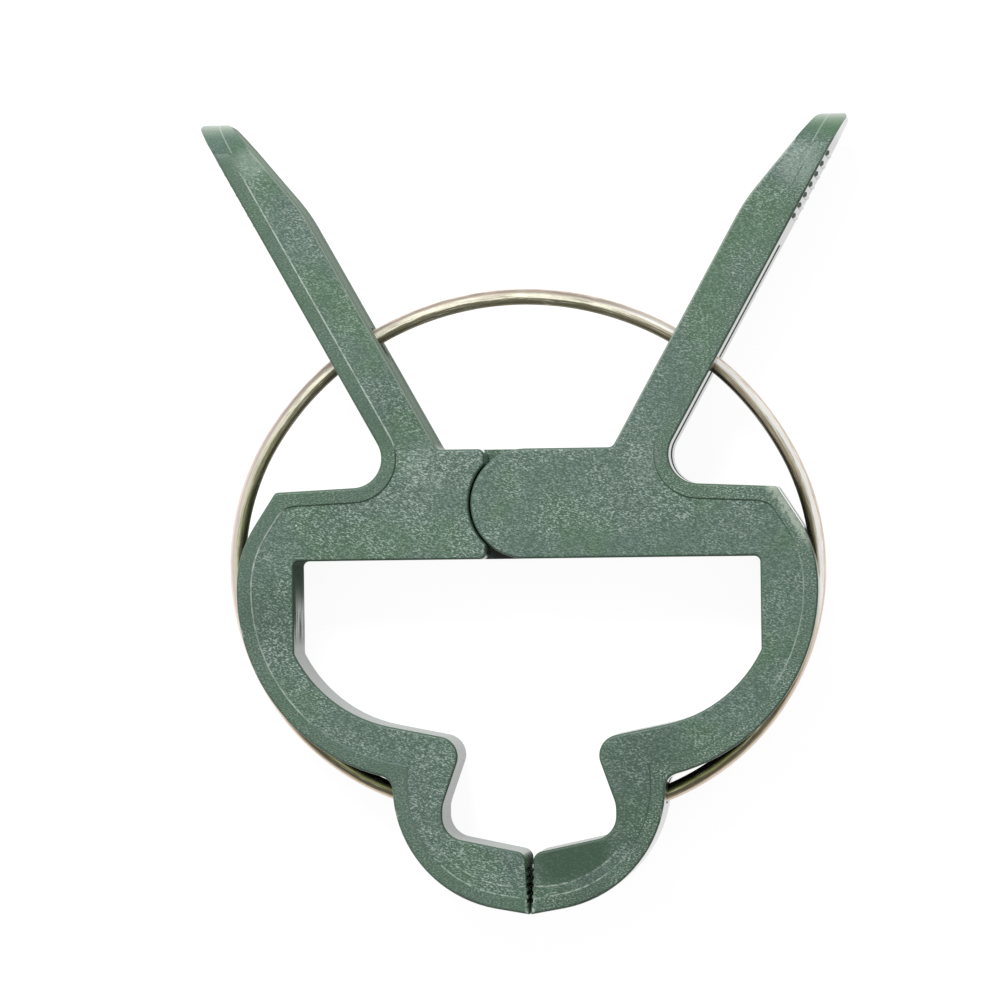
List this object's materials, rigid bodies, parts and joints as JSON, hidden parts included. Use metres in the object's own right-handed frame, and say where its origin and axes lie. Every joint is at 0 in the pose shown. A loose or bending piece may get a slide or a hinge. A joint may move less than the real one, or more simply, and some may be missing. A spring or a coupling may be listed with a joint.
{
  "type": "orchid clip",
  "caption": "Spring clip for plant stems: hinged twin jaws with finger handles, a stem opening and a rounded gripping tip, held closed by an open wire ring.",
  "frame": {"origin": "centre of the clip's outline, on the plane of the rims that it lies on", "axes": "+X across the clip towards the right jaw, +Y along it towards the finger handles, +Z through its thickness, along the hinge axis and the stem that it holds"},
  "size_m": [0.0442, 0.0542, 0.006],
  "materials": {
    "jaw_plastic": "grey-green moulded plastic with a fine spark texture",
    "ring_wire": "drawn spring wire, zinc plated with a yellowish tint"
  },
  "bodies": {
    "right_jaw": {"right_jaw": "jaw_plastic"},
    "left_jaw": {"left_jaw": "jaw_plastic"},
    "spring_ring": {"spring_ring": "ring_wire"}
  },
  "joints": [
    {"name": "jaw_hinge", "type": "hinge", "parent": "right_jaw", "child": "left_jaw", "pos_m": [0, 0.0008, 0.003], "axis": [0, 0, -1], "range_deg": [0, 45], "stiffness_Nm_per_rad": 0.01, "springref_deg": -22.92, "deforming": ["spring_ring"]},
    {"name": "ring_follow", "type": "hinge", "parent": "right_jaw", "child": "spring_ring", "pos_m": [0, 0.0008, 0.003], "axis": [0, 0, -1], "range_deg": [0, 22.5]}
  ],
  "couplings": [
    {"joint": "ring_follow", "follows": "jaw_hinge", "ratio": 0.5}
  ]
}
